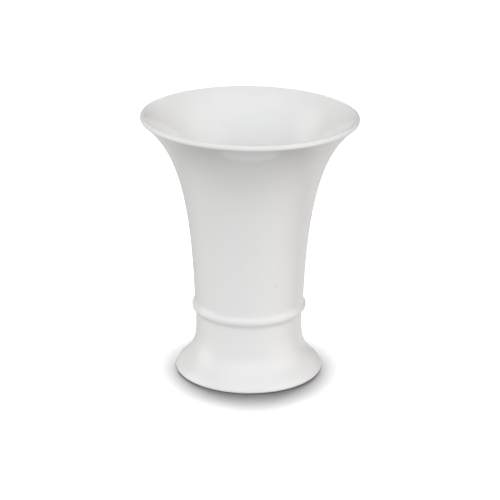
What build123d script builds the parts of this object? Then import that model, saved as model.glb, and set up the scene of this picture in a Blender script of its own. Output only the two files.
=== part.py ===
from build123d import *

import os
from math import cos, degrees, hypot, radians, sin, sqrt, tan

# A trumpet-shaped flower vase in white glazed porcelain.
#
# The vase is two cast pieces of biscuit porcelain. A spigot under the trumpet's closed floor stands in a
# collar on top of the bell foot, with a thin layer of slip between them, and the half-round bead on the
# collar hides the joint. Three coats of glaze cover the biscuit, and only the foot ring stays bare.
#
# Millimetres, +Z up. The origin is on the vase's axis, at the level of the face that it stands on.
# Every piece is turned about Z, so each is drawn as a half section in the XZ plane, as (radius, height).

# ---- Driving dimensions ----

# The whole vase
height = 160.0
wall = 3.2  # the trumpet's wall with its glaze, and so the diameter of the full-round lip
glaze = 0.3  # thickness of each coat
slip = 0.4  # thickness of the luting layer

# The trumpet
rim_radius = 64.7
mouth_lean = radians(50.0)  # the wall's lean from the vertical, at the lip
wall_lean = radians(2.7)  # the same for the straight lower wall
flare_start = (33.6, 56.0)  # where the straight wall begins to open
flare_low_pull = 56.3
flare_high_pull = 25.5
floor_level = 40.0  # top of the well's floor
spigot_base = 36.0

# The bead on the collar, with a hollow round above it and below it
bead_crest = 34.65
bead_level = 41.0
bead_round = 2.8
upper_hollow_round = 4.2
lower_hollow_round = 4.0

# The bell foot
neck_radius = 32.3
neck_base = 27.5
foot_wall = 3.5
foot_radius = 44.7
foot_edge_round = 1.2
shoulder_slope = radians(66.5)  # below the horizontal, where the shoulder meets the foot's edge
shoulder_high_pull = 18.6
shoulder_low_pull = 6.9

# The ring that the foot stands on, and the space under the foot
ring_outer = 41.2
ring_inner = 38.6
ring_round = 0.2
ring_stand = 0.2  # the ring holds the foot's edge this far above the table
inside_foot = 1.6  # where the ring's inner side begins to draw in
inside_low_pull = 5.0
inside_top = 25.0
inside_high_pull = 15.0
pool_round = 1.5  # the glaze gathers in the corner at the top of the space

# ---- Points that follow from them ----

bore = neck_radius - foot_wall
spigot = bore - slip
lip_centre = (rim_radius - wall / 2, height - wall / 2)
edge_centre = (foot_radius - foot_edge_round, ring_stand + foot_edge_round)
bead_centre = (bead_crest - bead_round, bead_level)


def flare_foot(depth):
    """Lower end of the flare, at a depth into the wall from the vase's outer surface."""
    return (flare_start[0] - depth * cos(wall_lean), flare_start[1] + depth * sin(wall_lean))


def flare_head(depth):
    """Upper end of the flare, where the lip's round begins."""
    reach = wall / 2 - depth
    return (lip_centre[0] + reach * cos(mouth_lean), lip_centre[1] - reach * sin(mouth_lean))


def straight_wall(depth, level):
    """The point of the straight lower wall at a level."""
    radius, top = flare_foot(depth)
    return (radius - (top - level) * tan(wall_lean), level)


def hollow_centre(hollow_round, wall_radius, lean, side):
    """Centre of the hollow round above the bead (side 1) or below it (side -1).

    The round touches the bead, and a wall that would have wall_radius at the bead's level.
    """
    across = hollow_round + (wall_radius - bead_centre[0]) * cos(lean)
    along = side * sqrt((bead_round + hollow_round) ** 2 - across**2)
    return (
        bead_centre[0] + across * cos(lean) + along * sin(lean),
        bead_centre[1] - across * sin(lean) + along * cos(lean),
    )


upper_hollow = hollow_centre(upper_hollow_round, straight_wall(0, bead_level)[0], wall_lean, 1)
lower_hollow = hollow_centre(lower_hollow_round, neck_radius, 0, -1)


def wall_end(depth):
    """Where the straight wall meets the hollow round above the bead."""
    reach = upper_hollow_round + depth
    return (upper_hollow[0] - reach * cos(wall_lean), upper_hollow[1] + reach * sin(wall_lean))


def bead_end(hollow, depth):
    """Where the bead meets one of its two hollow rounds."""
    run = (hollow[0] - bead_centre[0], hollow[1] - bead_centre[1])
    share = (bead_round - depth) / hypot(*run)
    return (bead_centre[0] + share * run[0], bead_centre[1] + share * run[1])


collar_top = wall_end(glaze)[1]
shoulder = collar_top + slip

# The round at the bottom of the well leads from the wall to the flat floor.
well_side = flare_foot(wall)
well_round = (well_side[1] - floor_level) / (1 - sin(wall_lean))
well_centre = (well_side[0] - well_round * cos(wall_lean), floor_level + well_round)


def well_floor(depth):
    """Level of the floor, as high as the vase holds water at a depth of wall."""
    return floor_level - (wall - depth)


# ---- Lines of the half section, each at a depth into the wall from the outer surface ----


def draw_flare(depth):
    """The lip's round from its crown, then the flaring wall down to where it is straight."""
    low = flare_foot(depth)
    high = flare_head(depth)
    growth = 1 + depth * (mouth_lean - wall_lean) / hypot(high[0] - low[0], high[1] - low[1])
    low_pull = flare_low_pull * growth
    high_pull = flare_high_pull * growth
    if depth < wall / 2:
        CenterArc(lip_centre, wall / 2 - depth, 90, -90 - degrees(mouth_lean))
    else:
        CenterArc(lip_centre, depth - wall / 2, 90, 90 - degrees(mouth_lean))
    Bezier(
        high,
        (high[0] - high_pull * sin(mouth_lean), high[1] - high_pull * cos(mouth_lean)),
        (low[0] + low_pull * sin(wall_lean), low[1] + low_pull * cos(wall_lean)),
        low,
    )


def draw_well(depth):
    """The inside of the trumpet, from the lip's crown to the middle of the floor."""
    reach = well_round + wall - depth
    draw_flare(depth)
    CenterArc(well_centre, reach, -degrees(wall_lean), degrees(wall_lean) - 90)
    Line((well_centre[0], well_floor(depth)), (0, well_floor(depth)))


def draw_bead(depth):
    """The bead, with the hollow rounds that lead into it and out of it."""
    top = bead_end(upper_hollow, depth)
    bottom = bead_end(lower_hollow, depth)
    neck_top = (neck_radius - depth, lower_hollow[1])
    RadiusArc(wall_end(depth), top, -(upper_hollow_round + depth))
    ThreePointArc(top, (bead_crest - depth, bead_level), bottom)
    RadiusArc(bottom, neck_top, -(lower_hollow_round + depth))


def draw_foot(depth):
    """The neck, the shoulder, and the foot's edge, as far as the ring."""
    reach = foot_edge_round - depth
    neck_end = (neck_radius - depth, neck_base)
    shoulder_end = (
        edge_centre[0] + reach * sin(shoulder_slope),
        edge_centre[1] + reach * cos(shoulder_slope),
    )
    underside = edge_centre[1] - reach
    Line((neck_radius - depth, lower_hollow[1]), neck_end)
    Bezier(
        neck_end,
        (neck_end[0], neck_end[1] - shoulder_high_pull),
        (
            shoulder_end[0] - shoulder_low_pull * cos(shoulder_slope),
            shoulder_end[1] + shoulder_low_pull * sin(shoulder_slope),
        ),
        shoulder_end,
    )
    CenterArc(edge_centre, reach, 90 - degrees(shoulder_slope), degrees(shoulder_slope) - 180)
    Line((edge_centre[0], underside), (ring_outer, underside))


def draw_inside(coat):
    """The inside of the bell foot above its ring, with a coat of glaze on the biscuit."""
    low = ring_inner - coat
    high = bore - coat
    Bezier(
        (low, inside_foot),
        (low, inside_foot + inside_low_pull),
        (high, inside_top - inside_high_pull),
        (high, inside_top),
    )


# ---- The pieces ----

os.makedirs("parts", exist_ok=True)

# The trumpet with its closed floor, and the short spigot under it.
with BuildPart() as trumpet_body:
    with BuildSketch(Plane.XZ):
        with BuildLine():
            draw_flare(glaze)
            draw_well(wall - glaze)
            Polyline(
                flare_foot(glaze),
                straight_wall(glaze, shoulder),
                (spigot, shoulder),
                (spigot, spigot_base),
                (0, spigot_base),
                (0, well_floor(wall - glaze)),
            )
        make_face()
    revolve(axis=Axis.Z)
trumpet_body.part.label = "trumpet_body"
export_step(trumpet_body.part, "parts/trumpet_body.step")

# The bell foot, hollow underneath, with the bead on its collar and the ring that it stands on.
with BuildPart() as foot:
    with BuildSketch(Plane.XZ) as foot_section:
        with BuildLine():
            draw_bead(glaze)
            draw_foot(glaze)
            Polyline(
                (ring_outer, ring_stand + glaze),
                (ring_outer, 0),
                (ring_inner, 0),
                (ring_inner, inside_foot),
            )
            draw_inside(0)
            Polyline((bore, inside_top), (bore, collar_top), wall_end(glaze))
        make_face()
        fillet(foot_section.vertices().group_by(Axis.Y)[0], ring_round)
    revolve(axis=Axis.Z)
foot.part.label = "foot"
export_step(foot.part, "parts/foot.step")

# The slip that fixes the spigot in the collar: a sleeve round the spigot, and a washer under the shoulder.
with BuildPart() as luting_slip:
    with BuildSketch(Plane.XZ):
        with BuildLine():
            Polyline(
                (spigot, spigot_base),
                (bore, spigot_base),
                (bore, collar_top),
                wall_end(glaze),
                straight_wall(glaze, shoulder),
                (spigot, shoulder),
                close=True,
            )
        make_face()
    revolve(axis=Axis.Z)
luting_slip.part.label = "luting_slip"
export_step(luting_slip.part, "parts/luting_slip.step")

# The dipped coat, from the lip's crown down to the foot ring.
with BuildPart() as outer_glaze:
    with BuildSketch(Plane.XZ):
        with BuildLine():
            for depth in (0, glaze):
                draw_flare(depth)
                Line(flare_foot(depth), wall_end(depth))
                draw_bead(depth)
                draw_foot(depth)
            Line((lip_centre[0], height), (lip_centre[0], height - glaze))
            Line((ring_outer, ring_stand), (ring_outer, ring_stand + glaze))
        make_face()
    revolve(axis=Axis.Z)
outer_glaze.part.label = "outer_glaze"
export_step(outer_glaze.part, "parts/outer_glaze.step")

# The poured coat inside the trumpet, which meets the dipped coat at the lip's crown.
with BuildPart() as inner_glaze:
    with BuildSketch(Plane.XZ):
        with BuildLine():
            for depth in (wall, wall - glaze):
                draw_well(depth)
            Line((lip_centre[0], height), (lip_centre[0], height - glaze))
            Line((0, well_floor(wall)), (0, well_floor(wall - glaze)))
        make_face()
    revolve(axis=Axis.Z)
inner_glaze.part.label = "inner_glaze"
export_step(inner_glaze.part, "parts/inner_glaze.step")

# The coat under the foot, thicker in the corner where it has gathered.
with BuildPart() as underside_glaze:
    with BuildSketch(Plane.XZ):
        with BuildLine():
            glazed_bore = bore - glaze
            glazed_top = spigot_base - glaze
            pool_centre = (glazed_bore - pool_round, glazed_top - pool_round)
            for coat in (0, glaze):
                draw_inside(coat)
            Line((ring_inner, inside_foot), (ring_inner - glaze, inside_foot))
            Polyline((bore, inside_top), (bore, spigot_base), (0, spigot_base), (0, glazed_top))
            Line((glazed_bore, inside_top), (glazed_bore, pool_centre[1]))
            CenterArc(pool_centre, pool_round, 0, 90)
            Line((pool_centre[0], glazed_top), (0, glazed_top))
        make_face()
    revolve(axis=Axis.Z)
underside_glaze.part.label = "underside_glaze"
export_step(underside_glaze.part, "parts/underside_glaze.step")
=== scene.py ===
from math import atan2, cos, dist, hypot, pi, radians, sin, sqrt, tan

import bmesh
import bpy
from mathutils import Matrix, Vector, noise


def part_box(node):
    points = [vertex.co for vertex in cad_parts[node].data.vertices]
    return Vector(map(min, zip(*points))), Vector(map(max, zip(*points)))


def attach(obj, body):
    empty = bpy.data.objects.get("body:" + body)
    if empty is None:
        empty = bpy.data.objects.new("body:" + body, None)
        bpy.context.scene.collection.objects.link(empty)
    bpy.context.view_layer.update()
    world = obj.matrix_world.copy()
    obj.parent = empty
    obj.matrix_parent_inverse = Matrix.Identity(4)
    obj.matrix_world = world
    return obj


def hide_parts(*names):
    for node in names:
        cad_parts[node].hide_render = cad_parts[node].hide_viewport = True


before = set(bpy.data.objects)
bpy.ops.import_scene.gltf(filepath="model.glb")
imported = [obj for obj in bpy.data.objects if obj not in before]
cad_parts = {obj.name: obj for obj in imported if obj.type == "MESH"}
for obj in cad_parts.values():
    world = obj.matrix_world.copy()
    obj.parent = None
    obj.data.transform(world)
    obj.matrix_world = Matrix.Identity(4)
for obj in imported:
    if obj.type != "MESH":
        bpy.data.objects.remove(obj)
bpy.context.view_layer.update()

# A trumpet-shaped porcelain vase, turned piece by piece on one axis, as a potter would finish it.
#
# The outlines are drawn in millimetres as (radius, height), with the same sizes as the CAD model, and the
# meshes are in metres. Each piece of the visual model stands for the CAD piece of the same name.

MM = 0.001

# ---- Sizes that follow the CAD model, in millimetres ----

# The whole vase
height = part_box("outer_glaze")[1].z / MM
rim_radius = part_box("outer_glaze")[1].x / MM
wall = 3.2
glaze = 0.3
slip = 0.4

# The trumpet
mouth_lean = radians(50.0)
wall_lean = radians(2.7)
flare_start = (33.6, 56.0)
flare_low_pull = 56.3
flare_high_pull = 25.5
floor_level = 40.0
spigot_base = 36.0

# The bead
bead_crest = 34.65
bead_level = 41.0
bead_round = 2.8
upper_hollow_round = 4.2
lower_hollow_round = 4.0

# The bell foot
neck_radius = 32.3
neck_base = 27.5
foot_wall = 3.5
foot_radius = 44.7
foot_edge_round = 1.2
shoulder_slope = radians(66.5)
shoulder_high_pull = 18.6
shoulder_low_pull = 6.9

# The ring that the foot stands on, and the space under the foot
ring_outer = 41.2
ring_inner = 38.6
ring_round = 0.2
ring_stand = 0.2
inside_foot = 1.6
inside_low_pull = 5.0
inside_top = 25.0
inside_high_pull = 15.0
pool_round = 1.5

# ---- What the kiln and the hand have done to it ----

mouth_sag = tan(radians(0.557))  # the fired mouth sits a little lower at +X
sag_start = 0.45  # share of the height where the sag begins
unevenness = 0.04  # mm, how far the wall wanders in and out of true
unevenness_width = 28.0  # mm, from one such wave to the next

# ---- Mesh fineness ----

segments = 256  # round the axis
crease_angle = radians(35)  # an edge that turns by more than this stays sharp
same_point = 1e-4  # mm, two points nearer than this are one

# Steps along each stroke of an outline: more where the surface is seen than where another piece covers it
seen_flare_steps = 100
seen_wall_steps = 8
seen_bead_steps = 12
seen_foot_steps = 48
covered_flare_steps = 40
covered_bead_steps = 6
covered_foot_steps = 20
inside_steps = 40
straight_steps = 4
ring_round_steps = 6
pool_steps = 8
ceiling_steps = 6

# ---- Surfaces: colours are linear, and sizes are in metres ----

glaze_white = (0.89, 0.888, 0.888)
thick_glaze_white = (0.884, 0.885, 0.885)
glaze_thickness_width = 45 * MM  # from one thicker patch to the next
glaze_roughness = (0.12, 0.17)
gloss_width = 12 * MM
rolling_width = 6 * MM
rolling_depth = 0.006 * MM
peel_width = 1.1 * MM
peel_depth = 0.0006 * MM
glaze_index = 1.5

speck_radius = 1.1 * MM
speck_grey = (0.81, 0.80, 0.79)
speck_spot = (33.9, radians(-62.9), 63.1)  # radius, angle and level on the vase, in millimetres

biscuit_white = (0.80, 0.79, 0.765)
biscuit_shade = (0.70, 0.68, 0.64)
slip_white = (0.78, 0.77, 0.74)
slip_shade = (0.72, 0.70, 0.66)
biscuit_roughness = (0.55, 0.75)
grain_width = 0.25 * MM
grain_depth = 0.02 * MM
stain_width = 9 * MM
stain_onset = (0.45, 0.75)  # where in the noise the stain begins, and where it is full

# ---- Camera, which looks along +Y from a little above ----

camera_elevation = radians(20.4)
camera_distance = 1147.0 * MM
camera_target = Vector((0.44 * MM, 0, 75.0 * MM))
camera_roll = radians(0.34)
camera_lens = 137.0  # mm
camera_sensor = 36.0  # mm
camera_reach = 50.0  # metres

# ---- Light: radiance as (red, green, blue), where a white card under 1 looks white ----

ambient_light = (0.006, 0.004, 0.006)
backdrop_strength = 1.5
even_share = 0.3  # how much of a soft box's reach is evenly lit, before it fades
soft_boxes = [  # azimuth, elevation, half width, half height, radiance
    # The wide light over the camera
    (radians(6), radians(43), radians(125), radians(50), (1.27, 1.30, 1.31)),
    # The lights at the left and at the right
    (radians(-94), radians(16), radians(30), radians(38), (1.62, 1.55, 1.49)),
    (radians(76), radians(10), radians(42), radians(42), (0.92, 0.82, 0.77)),
    # The light behind
    (radians(177), radians(50), radians(46), radians(30), (2.40, 2.36, 2.20)),
    # What the pale table gives back in front, at the left, and behind
    (radians(-1), radians(-31), radians(132), radians(35), (0.88, 0.88, 0.86)),
    (radians(-129), radians(-19), radians(54), radians(50), (0.46, 0.46, 0.43)),
    (radians(160), radians(-30), radians(59), radians(32), (0.76, 0.74, 0.75)),
]

floor_half_width = 6.0  # metres
floor_colour = (0.118, 0.118, 0.1195, 1)
floor_lamps = [  # name, azimuth, elevation, angular width, power
    ("overhead_lamp", radians(190), radians(89), radians(20), 41.0),
    ("rear_lamp", radians(183), radians(7), radians(62), 62.0),
]

# ---- Points that follow from the sizes ----

bore = neck_radius - foot_wall
spigot = bore - slip
lip_centre = (rim_radius - wall / 2, height - wall / 2)
edge_centre = (foot_radius - foot_edge_round, ring_stand + foot_edge_round)
bead_centre = (bead_crest - bead_round, bead_level)


def flare_foot(depth):
    """Lower end of the flare, at a depth into the wall from the vase's outer surface."""
    return (flare_start[0] - depth * cos(wall_lean), flare_start[1] + depth * sin(wall_lean))


def flare_head(depth):
    """Upper end of the flare, where the lip's round begins."""
    reach = wall / 2 - depth
    return (lip_centre[0] + reach * cos(mouth_lean), lip_centre[1] - reach * sin(mouth_lean))


def straight_wall(depth, level):
    """The point of the straight lower wall at a level."""
    radius, top = flare_foot(depth)
    return (radius - (top - level) * tan(wall_lean), level)


def hollow_centre(hollow_round, wall_radius, lean, side):
    """Centre of the hollow round above the bead (side 1) or below it (side -1)."""
    across = hollow_round + (wall_radius - bead_centre[0]) * cos(lean)
    along = side * sqrt((bead_round + hollow_round) ** 2 - across**2)
    return (
        bead_centre[0] + across * cos(lean) + along * sin(lean),
        bead_centre[1] - across * sin(lean) + along * cos(lean),
    )


upper_hollow = hollow_centre(upper_hollow_round, straight_wall(0, bead_level)[0], wall_lean, 1)
lower_hollow = hollow_centre(lower_hollow_round, neck_radius, 0, -1)


def wall_end(depth):
    """Where the straight wall meets the hollow round above the bead."""
    reach = upper_hollow_round + depth
    return (upper_hollow[0] - reach * cos(wall_lean), upper_hollow[1] + reach * sin(wall_lean))


def bead_end(hollow, depth):
    """Where the bead meets one of its two hollow rounds."""
    run = (hollow[0] - bead_centre[0], hollow[1] - bead_centre[1])
    share = (bead_round - depth) / hypot(*run)
    return (bead_centre[0] + share * run[0], bead_centre[1] + share * run[1])


collar_top = wall_end(glaze)[1]
shoulder = collar_top + slip
well_side = flare_foot(wall)
well_round = (well_side[1] - floor_level) / (1 - sin(wall_lean))
well_centre = (well_side[0] - well_round * cos(wall_lean), floor_level + well_round)


def well_floor(depth):
    """Level of the well's floor at a depth into the wall."""
    return floor_level - (wall - depth)


# ---- Strokes of an outline: each is a list of (radius, height) in millimetres ----


def line(start, end, steps=1):
    """Points on a straight line, both ends included."""
    shares = [step / steps for step in range(steps + 1)]
    return [(start[0] + s * (end[0] - start[0]), start[1] + s * (end[1] - start[1])) for s in shares]


def arc(centre, start, end, steps):
    """Points on the short arc about a centre from one point to another."""
    radius = hypot(start[0] - centre[0], start[1] - centre[1])
    first = atan2(start[1] - centre[1], start[0] - centre[0])
    last = atan2(end[1] - centre[1], end[0] - centre[0])
    turn = (last - first + pi) % (2 * pi) - pi
    angles = [first + turn * step / steps for step in range(steps + 1)]
    return [(centre[0] + radius * cos(a), centre[1] + radius * sin(a)) for a in angles]


def curve(start, start_pull, end_pull, end, steps):
    """Points on a cubic Bezier curve."""
    corners = (start, start_pull, end_pull, end)
    points = []
    for step in range(steps + 1):
        t = step / steps
        weights = ((1 - t) ** 3, 3 * t * (1 - t) ** 2, 3 * t * t * (1 - t), t**3)
        points.append(tuple(sum(w * c[k] for w, c in zip(weights, corners)) for k in (0, 1)))
    return points


def join(*strokes):
    """One outline from several strokes, with the points that two strokes share kept once."""
    outline = []
    for stroke in strokes:
        for point in stroke:
            if not outline or dist(point, outline[-1]) > same_point:
                outline.append(point)
    if dist(outline[0], outline[-1]) < same_point:
        outline.pop()
    return outline


def flare_stroke(depth, steps):
    """The lip's round from its crown, then the flaring wall down to where it is straight."""
    low = flare_foot(depth)
    high = flare_head(depth)
    growth = 1 + depth * (mouth_lean - wall_lean) / hypot(high[0] - low[0], high[1] - low[1])
    low_pull = flare_low_pull * growth
    high_pull = flare_high_pull * growth
    crown = (lip_centre[0], lip_centre[1] + abs(wall / 2 - depth))
    return arc(lip_centre, crown, high, steps // 5) + curve(
        high,
        (high[0] - high_pull * sin(mouth_lean), high[1] - high_pull * cos(mouth_lean)),
        (low[0] + low_pull * sin(wall_lean), low[1] + low_pull * cos(wall_lean)),
        low,
        steps,
    )


def well_stroke(depth, steps):
    """The inside of the trumpet, from the lip's crown to the middle of the floor."""
    bottom = (well_centre[0], well_floor(depth))
    return (
        flare_stroke(depth, steps)
        + arc(well_centre, flare_foot(depth), bottom, steps // 3)
        + line(bottom, (0, well_floor(depth)), straight_steps)
    )


def bead_stroke(depth, steps):
    """The bead, with the hollow rounds that lead into it and out of it."""
    top = bead_end(upper_hollow, depth)
    bottom = bead_end(lower_hollow, depth)
    return (
        arc(upper_hollow, wall_end(depth), top, steps)
        + arc(bead_centre, top, bottom, 2 * steps)
        + arc(lower_hollow, bottom, (neck_radius - depth, lower_hollow[1]), steps)
    )


def foot_stroke(depth, steps):
    """The neck, the shoulder, and the foot's edge, as far as the ring."""
    reach = foot_edge_round - depth
    neck_end = (neck_radius - depth, neck_base)
    shoulder_end = (
        edge_centre[0] + reach * sin(shoulder_slope),
        edge_centre[1] + reach * cos(shoulder_slope),
    )
    underside = (edge_centre[0], edge_centre[1] - reach)
    return (
        line((neck_radius - depth, lower_hollow[1]), neck_end, steps // 8)
        + curve(
            neck_end,
            (neck_end[0], neck_end[1] - shoulder_high_pull),
            (
                shoulder_end[0] - shoulder_low_pull * cos(shoulder_slope),
                shoulder_end[1] + shoulder_low_pull * sin(shoulder_slope),
            ),
            shoulder_end,
            steps,
        )
        + arc(edge_centre, shoulder_end, underside, steps // 3)
        + line(underside, (ring_outer, underside[1]), 2)
    )


def inside_stroke(coat, steps):
    """The inside of the bell foot above its ring, with a coat of glaze on the biscuit."""
    low = ring_inner - coat
    high = bore - coat
    return curve(
        (low, inside_foot),
        (low, inside_foot + inside_low_pull),
        (high, inside_top - inside_high_pull),
        (high, inside_top),
        steps,
    )


# ---- Outlines of the six pieces ----


def outer_glaze_outline():
    """The dipped coat, from the lip's crown down to the foot ring."""
    seen = (
        flare_stroke(0, seen_flare_steps)
        + line(flare_foot(0), wall_end(0), seen_wall_steps)
        + bead_stroke(0, seen_bead_steps)
        + foot_stroke(0, seen_foot_steps)
    )
    covered = (
        flare_stroke(glaze, covered_flare_steps)
        + line(flare_foot(glaze), wall_end(glaze), straight_steps)
        + bead_stroke(glaze, covered_bead_steps)
        + foot_stroke(glaze, covered_foot_steps)
    )
    return join(seen, reversed(covered))


def inner_glaze_outline():
    """The poured coat inside the trumpet, which meets the dipped coat at the lip's crown."""
    seen = well_stroke(wall, seen_flare_steps)
    covered = well_stroke(wall - glaze, covered_flare_steps)
    return join(seen, reversed(covered))


def trumpet_body_outline():
    """The trumpet with its closed floor, and the short spigot under it."""
    return join(
        flare_stroke(glaze, covered_flare_steps),
        line(flare_foot(glaze), straight_wall(glaze, shoulder), straight_steps),
        line((spigot, shoulder), (spigot, spigot_base)),
        line((0, spigot_base), (0, well_floor(wall - glaze))),
        reversed(well_stroke(wall - glaze, covered_flare_steps)),
    )


def luting_slip_outline():
    """The slip that fixes the spigot in the collar."""
    return join(
        line((spigot, spigot_base), (bore, spigot_base)),
        line((bore, collar_top), wall_end(glaze)),
        line(straight_wall(glaze, shoulder), (spigot, shoulder)),
    )


def foot_outline():
    """The hollow bell foot, with the bead on its collar and the bare ring that it stands on."""
    outer_round = (ring_outer - ring_round, ring_round)
    inner_round = (ring_inner + ring_round, ring_round)
    return join(
        bead_stroke(glaze, covered_bead_steps),
        foot_stroke(glaze, covered_foot_steps),
        arc(outer_round, (ring_outer, ring_round), (outer_round[0], 0), ring_round_steps),
        line((outer_round[0], 0), (inner_round[0], 0), straight_steps),
        arc(inner_round, (inner_round[0], 0), (ring_inner, ring_round), ring_round_steps),
        inside_stroke(0, inside_steps),
        line((bore, inside_top), (bore, collar_top), straight_steps),
    )


def underside_glaze_outline():
    """The coat under the foot, thicker in the corner where it has gathered."""
    glazed_bore = bore - glaze
    glazed_top = spigot_base - glaze
    pool_centre = (glazed_bore - pool_round, glazed_top - pool_round)
    return join(
        inside_stroke(glaze, inside_steps),
        line((glazed_bore, inside_top), (glazed_bore, pool_centre[1]), straight_steps),
        arc(pool_centre, (glazed_bore, pool_centre[1]), (pool_centre[0], glazed_top), pool_steps),
        line((pool_centre[0], glazed_top), (0, glazed_top), ceiling_steps),
        line((0, spigot_base), (bore, spigot_base)),
        reversed(inside_stroke(0, inside_steps)),
    )


# ---- Turning an outline into a mesh ----


def fired(radius, angle, level):
    """Where the kiln leaves a point of the true form, in metres.

    Every piece goes through this, so that the coats stay on the biscuit.
    """
    way = Vector((cos(angle), sin(angle), 0))
    place = radius * way + Vector((0, 0, level))
    wander = unevenness * noise.noise(place / unevenness_width)
    place += wander * min(1.0, radius / neck_radius) * way
    softened = max(0.0, (level / height - sag_start) / (1 - sag_start))
    place.z -= place.x * mouth_sag * softened**2
    return place * MM


def turn_piece(node, outline, material):
    """Revolves a closed outline about Z into one clean closed mesh that stands for the CAD piece."""
    mesh = bmesh.new()
    angles = [2 * pi * k / segments for k in range(segments)]
    rings = []
    for radius, level in outline:
        if radius < same_point:
            rings.append([mesh.verts.new(fired(0, 0, level))])
        else:
            rings.append([mesh.verts.new(fired(radius, angle, level)) for angle in angles])
    for ring, following in zip(rings, rings[1:] + rings[:1]):
        for k in range(segments):
            ahead = (k + 1) % segments
            if len(ring) > 1 and len(following) > 1:
                mesh.faces.new((ring[k], following[k], following[ahead], ring[ahead]))
            elif len(ring) > 1:
                mesh.faces.new((ring[k], following[0], ring[ahead]))
            elif len(following) > 1:
                mesh.faces.new((ring[0], following[k], following[ahead]))
    bmesh.ops.recalc_face_normals(mesh, faces=mesh.faces)
    for face in mesh.faces:
        face.smooth = True
    for edge in mesh.edges:
        edge.smooth = edge.calc_face_angle(0) < crease_angle
    data = bpy.data.meshes.new("turned_" + node)
    mesh.to_mesh(data)
    mesh.free()
    data.materials.append(material)
    piece = bpy.data.objects.new("turned_" + node, data)
    bpy.context.scene.collection.objects.link(piece)
    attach(piece, "root")
    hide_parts(node)


# ---- Materials ----


class Nodes:
    """A node tree, with short calls to add a node and to link it."""

    def add(self, kind, **settings):
        """A new node of a kind, with its own settings."""
        node = self.tree.nodes.new(kind)
        for key, value in settings.items():
            setattr(node, key, value)
        return node

    def link(self, output, socket):
        self.tree.links.new(output, socket)


class Surface(Nodes):
    """The nodes of a material, which depend on the place on the vase."""

    def __init__(self, name):
        self.material = bpy.data.materials.new(name)
        self.material.use_nodes = True
        self.tree = self.material.node_tree
        self.shader = self.tree.nodes["Principled BSDF"]
        self.place = self.add("ShaderNodeTexCoord").outputs["Object"]

    def cloud(self, width, detail=2.0):
        """Smooth random values from 0 to 1, whose patches are about width metres wide."""
        node = self.add("ShaderNodeTexNoise")
        node.inputs["Scale"].default_value = 1 / width
        node.inputs["Detail"].default_value = detail
        self.link(self.place, node.inputs["Vector"])
        return node.outputs["Fac"]

    def ramp(self, value, low, high, start=0.0, end=1.0):
        """A value that goes from low to high while the input goes from start to end."""
        node = self.add("ShaderNodeMapRange")
        self.link(value, node.inputs["Value"])
        node.inputs["From Min"].default_value = start
        node.inputs["From Max"].default_value = end
        node.inputs["To Min"].default_value = low
        node.inputs["To Max"].default_value = high
        return node.outputs["Result"]

    def blend(self, share, first, second):
        """Mixes two colours. Each is either a colour or a node's output."""
        node = self.add("ShaderNodeMix", data_type="RGBA")
        self.link(share, node.inputs["Factor"])
        for value, socket in ((first, "A"), (second, "B")):
            place = [s for s in node.inputs if s.name == socket and s.type == "RGBA"][0]
            if isinstance(value, tuple):
                place.default_value = (*value, 1)
            else:
                self.link(value, place)
        return [s for s in node.outputs if s.type == "RGBA"][0]

    def relief(self, value, depth, below=None):
        """Bump from a value, depth metres deep where the value goes from 0 to 1."""
        node = self.add("ShaderNodeBump")
        node.inputs["Distance"].default_value = depth
        self.link(value, node.inputs["Height"])
        if below is not None:
            self.link(below, node.inputs["Normal"])
        return node.outputs["Normal"]

    def speck(self, centre, radius):
        """1 at the heart of a round speck at a point, easing to 0 at its edge."""
        node = self.add("ShaderNodeVectorMath", operation="DISTANCE")
        self.link(self.place, node.inputs[0])
        node.inputs[1].default_value = centre
        heart = 0.4 * radius
        return self.ramp(node.outputs["Value"], 1, 0, heart, radius)


def glaze_material(name, speck_place=None):
    """Clear glossy glaze over white porcelain, with a grey speck if it is given a place."""
    surface = Surface(name)
    shader = surface.shader
    colour = surface.blend(surface.cloud(glaze_thickness_width), glaze_white, thick_glaze_white)
    if speck_place is not None:
        mark = surface.speck(speck_place, speck_radius)
        colour = surface.blend(mark, colour, speck_grey)
    surface.link(colour, shader.inputs["Base Color"])
    surface.link(surface.ramp(surface.cloud(gloss_width), *glaze_roughness), shader.inputs["Roughness"])
    rolling = surface.relief(surface.cloud(rolling_width, detail=1.0), rolling_depth)
    peel = surface.relief(surface.cloud(peel_width, detail=1.0), peel_depth, rolling)
    surface.link(peel, shader.inputs["Normal"])
    shader.inputs["IOR"].default_value = glaze_index
    return surface.material


def biscuit_material(name, white, shade):
    """Bare fired porcelain: matt, very finely grained, and a little stained in patches."""
    surface = Surface(name)
    shader = surface.shader
    grain = surface.cloud(grain_width, detail=3.0)
    stain = surface.cloud(stain_width, detail=4.0)
    colour = surface.blend(surface.ramp(stain, 0, 1, *stain_onset), white, shade)
    surface.link(colour, shader.inputs["Base Color"])
    surface.link(surface.ramp(grain, *biscuit_roughness), shader.inputs["Roughness"])
    surface.link(surface.relief(grain, grain_depth), shader.inputs["Normal"])
    return surface.material


def make_vase():
    """The six pieces."""
    outer = glaze_material("outer_glaze", fired(*speck_spot))
    inner = glaze_material("inner_glaze")
    biscuit = biscuit_material("biscuit", biscuit_white, biscuit_shade)
    slip_clay = biscuit_material("slip", slip_white, slip_shade)
    turn_piece("outer_glaze", outer_glaze_outline(), outer)
    turn_piece("inner_glaze", inner_glaze_outline(), inner)
    turn_piece("underside_glaze", underside_glaze_outline(), inner)
    turn_piece("trumpet_body", trumpet_body_outline(), biscuit)
    turn_piece("foot", foot_outline(), biscuit)
    turn_piece("luting_slip", luting_slip_outline(), slip_clay)


# ---- The studio ----


def look(place, target, roll=0.0):
    """A matrix for a camera or lamp at a place, aimed at a target."""
    aim = (target - place).to_track_quat("-Z", "Y").to_matrix().to_4x4()
    return Matrix.Translation(place) @ aim @ Matrix.Rotation(roll, 4, "Z")


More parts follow.
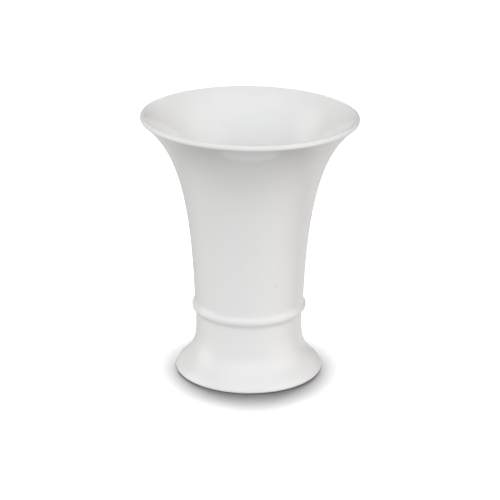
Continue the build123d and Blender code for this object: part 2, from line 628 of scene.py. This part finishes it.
def direction(azimuth, elevation):
    """Unit vector to a place round the vase. Azimuth 0 is the camera's side, and 90 degrees is +X."""
    across = cos(elevation)
    return Vector((sin(azimuth) * across, -cos(azimuth) * across, sin(elevation)))


def make_floor():
    """A plain pale floor, which the vase neither reflects nor takes light from."""
    signs = ((-1, -1), (1, -1), (1, 1), (-1, 1))
    corners = [(x * floor_half_width, y * floor_half_width, 0) for x, y in signs]
    data = bpy.data.meshes.new("floor")
    data.from_pydata(corners, [], [(0, 1, 2, 3)])
    material = bpy.data.materials.new("floor")
    material.use_nodes = True
    shader = material.node_tree.nodes["Principled BSDF"]
    shader.inputs["Base Color"].default_value = floor_colour
    shader.inputs["Roughness"].default_value = 1.0
    shader.inputs["Specular IOR Level"].default_value = 0.0
    data.materials.append(material)
    floor = bpy.data.objects.new("floor", data)
    bpy.context.scene.collection.objects.link(floor)
    floor.visible_diffuse = False
    floor.visible_glossy = False
    floor.visible_shadow = False
    return floor


def light_floor(floor):
    """Lamps that shine only on the floor, and keep it white up to the vase's soft shadow."""
    only_floor = bpy.data.collections.new("only_floor")
    only_floor.objects.link(floor)
    for name, azimuth, elevation, width, power in floor_lamps:
        lamp = bpy.data.lights.new(name, "SUN")
        lamp.angle = width
        lamp.energy = power
        placed = bpy.data.objects.new(name, lamp)
        placed.matrix_world = look(direction(azimuth, elevation), Vector((0, 0, 0)))
        bpy.context.scene.collection.objects.link(placed)
        placed.light_linking.receiver_collection = only_floor


class Sky(Nodes):
    """The world's nodes: light that depends on the direction it comes from."""

    def __init__(self, ambient):
        world = bpy.data.worlds.new("studio")
        bpy.context.scene.world = world
        world.use_nodes = True
        self.tree = world.node_tree
        self.tree.nodes.clear()
        way = self.add("ShaderNodeTexCoord").outputs["Generated"]
        split = self.add("ShaderNodeSeparateXYZ")
        self.link(way, split.inputs[0])
        backwards = self.math("MULTIPLY", split.outputs["Y"], -1.0)
        self.azimuth = self.math("ARCTAN2", split.outputs["X"], backwards)
        self.elevation = self.math("ARCSINE", split.outputs["Z"])
        start = self.add("ShaderNodeCombineXYZ")
        for socket, value in zip(start.inputs, ambient):
            socket.default_value = value
        self.light = start.outputs[0]

    def math(self, operation, *values):
        """The result of a maths node. Each value is either a float or a node's output."""
        node = self.add("ShaderNodeMath", operation=operation)
        for value, socket in zip(values, node.inputs):
            if isinstance(value, float):
                socket.default_value = value
            else:
                self.link(value, socket)
        return node.outputs[0]

    def fade(self, angle, centre, reach):
        """1 near the centre, easing to 0 at reach from it. The angles wrap round at half a turn."""
        turned = self.math("WRAP", self.math("SUBTRACT", angle, centre), pi, -pi)
        away = self.math("ABSOLUTE", turned)
        node = self.add("ShaderNodeMapRange", interpolation_type="SMOOTHSTEP")
        self.link(away, node.inputs["Value"])
        node.inputs["From Min"].default_value = reach * even_share
        node.inputs["From Max"].default_value = reach
        node.inputs["To Min"].default_value = 1.0
        node.inputs["To Max"].default_value = 0.0
        return node.outputs["Result"]

    def soft_box(self, azimuth, elevation, half_width, half_height, radiance):
        """Adds a box of light with soft edges."""
        across = self.fade(self.azimuth, azimuth, half_width)
        upright = self.fade(self.elevation, elevation, half_height)
        node = self.add("ShaderNodeVectorMath", operation="MULTIPLY_ADD")
        self.link(self.math("MULTIPLY", across, upright), node.inputs[0])
        node.inputs[1].default_value = radiance
        self.link(self.light, node.inputs[2])
        self.light = node.outputs[0]

    def finish(self):
        """Lights the scene, and shows the camera a plain white backdrop."""
        studio = self.add("ShaderNodeBackground")
        self.link(self.light, studio.inputs["Color"])
        backdrop = self.add("ShaderNodeBackground")
        backdrop.inputs["Color"].default_value = (1, 1, 1, 1)
        backdrop.inputs["Strength"].default_value = backdrop_strength
        mix = self.add("ShaderNodeMixShader")
        self.link(self.add("ShaderNodeLightPath").outputs["Is Camera Ray"], mix.inputs[0])
        self.link(studio.outputs[0], mix.inputs[1])
        self.link(backdrop.outputs[0], mix.inputs[2])
        output = self.add("ShaderNodeOutputWorld")
        self.link(mix.outputs[0], output.inputs["Surface"])


def make_studio_light():
    """A wide soft light over the camera, others at each side and behind, and a pale table below."""
    sky = Sky(ambient_light)
    for box in soft_boxes:
        sky.soft_box(*box)
    sky.finish()


def make_camera():
    """The camera, on the -Y side."""
    data = bpy.data.cameras.new("camera")
    data.lens = camera_lens
    data.sensor_width = camera_sensor
    data.clip_end = camera_reach
    camera = bpy.data.objects.new("camera", data)
    back = Vector((0, -cos(camera_elevation), sin(camera_elevation)))
    camera.matrix_world = look(camera_target + camera_distance * back, camera_target, camera_roll)
    bpy.context.scene.collection.objects.link(camera)
    bpy.context.scene.camera = camera


make_vase()
light_floor(make_floor())
make_studio_light()
make_camera()
bpy.context.scene.view_settings.view_transform = "Standard"
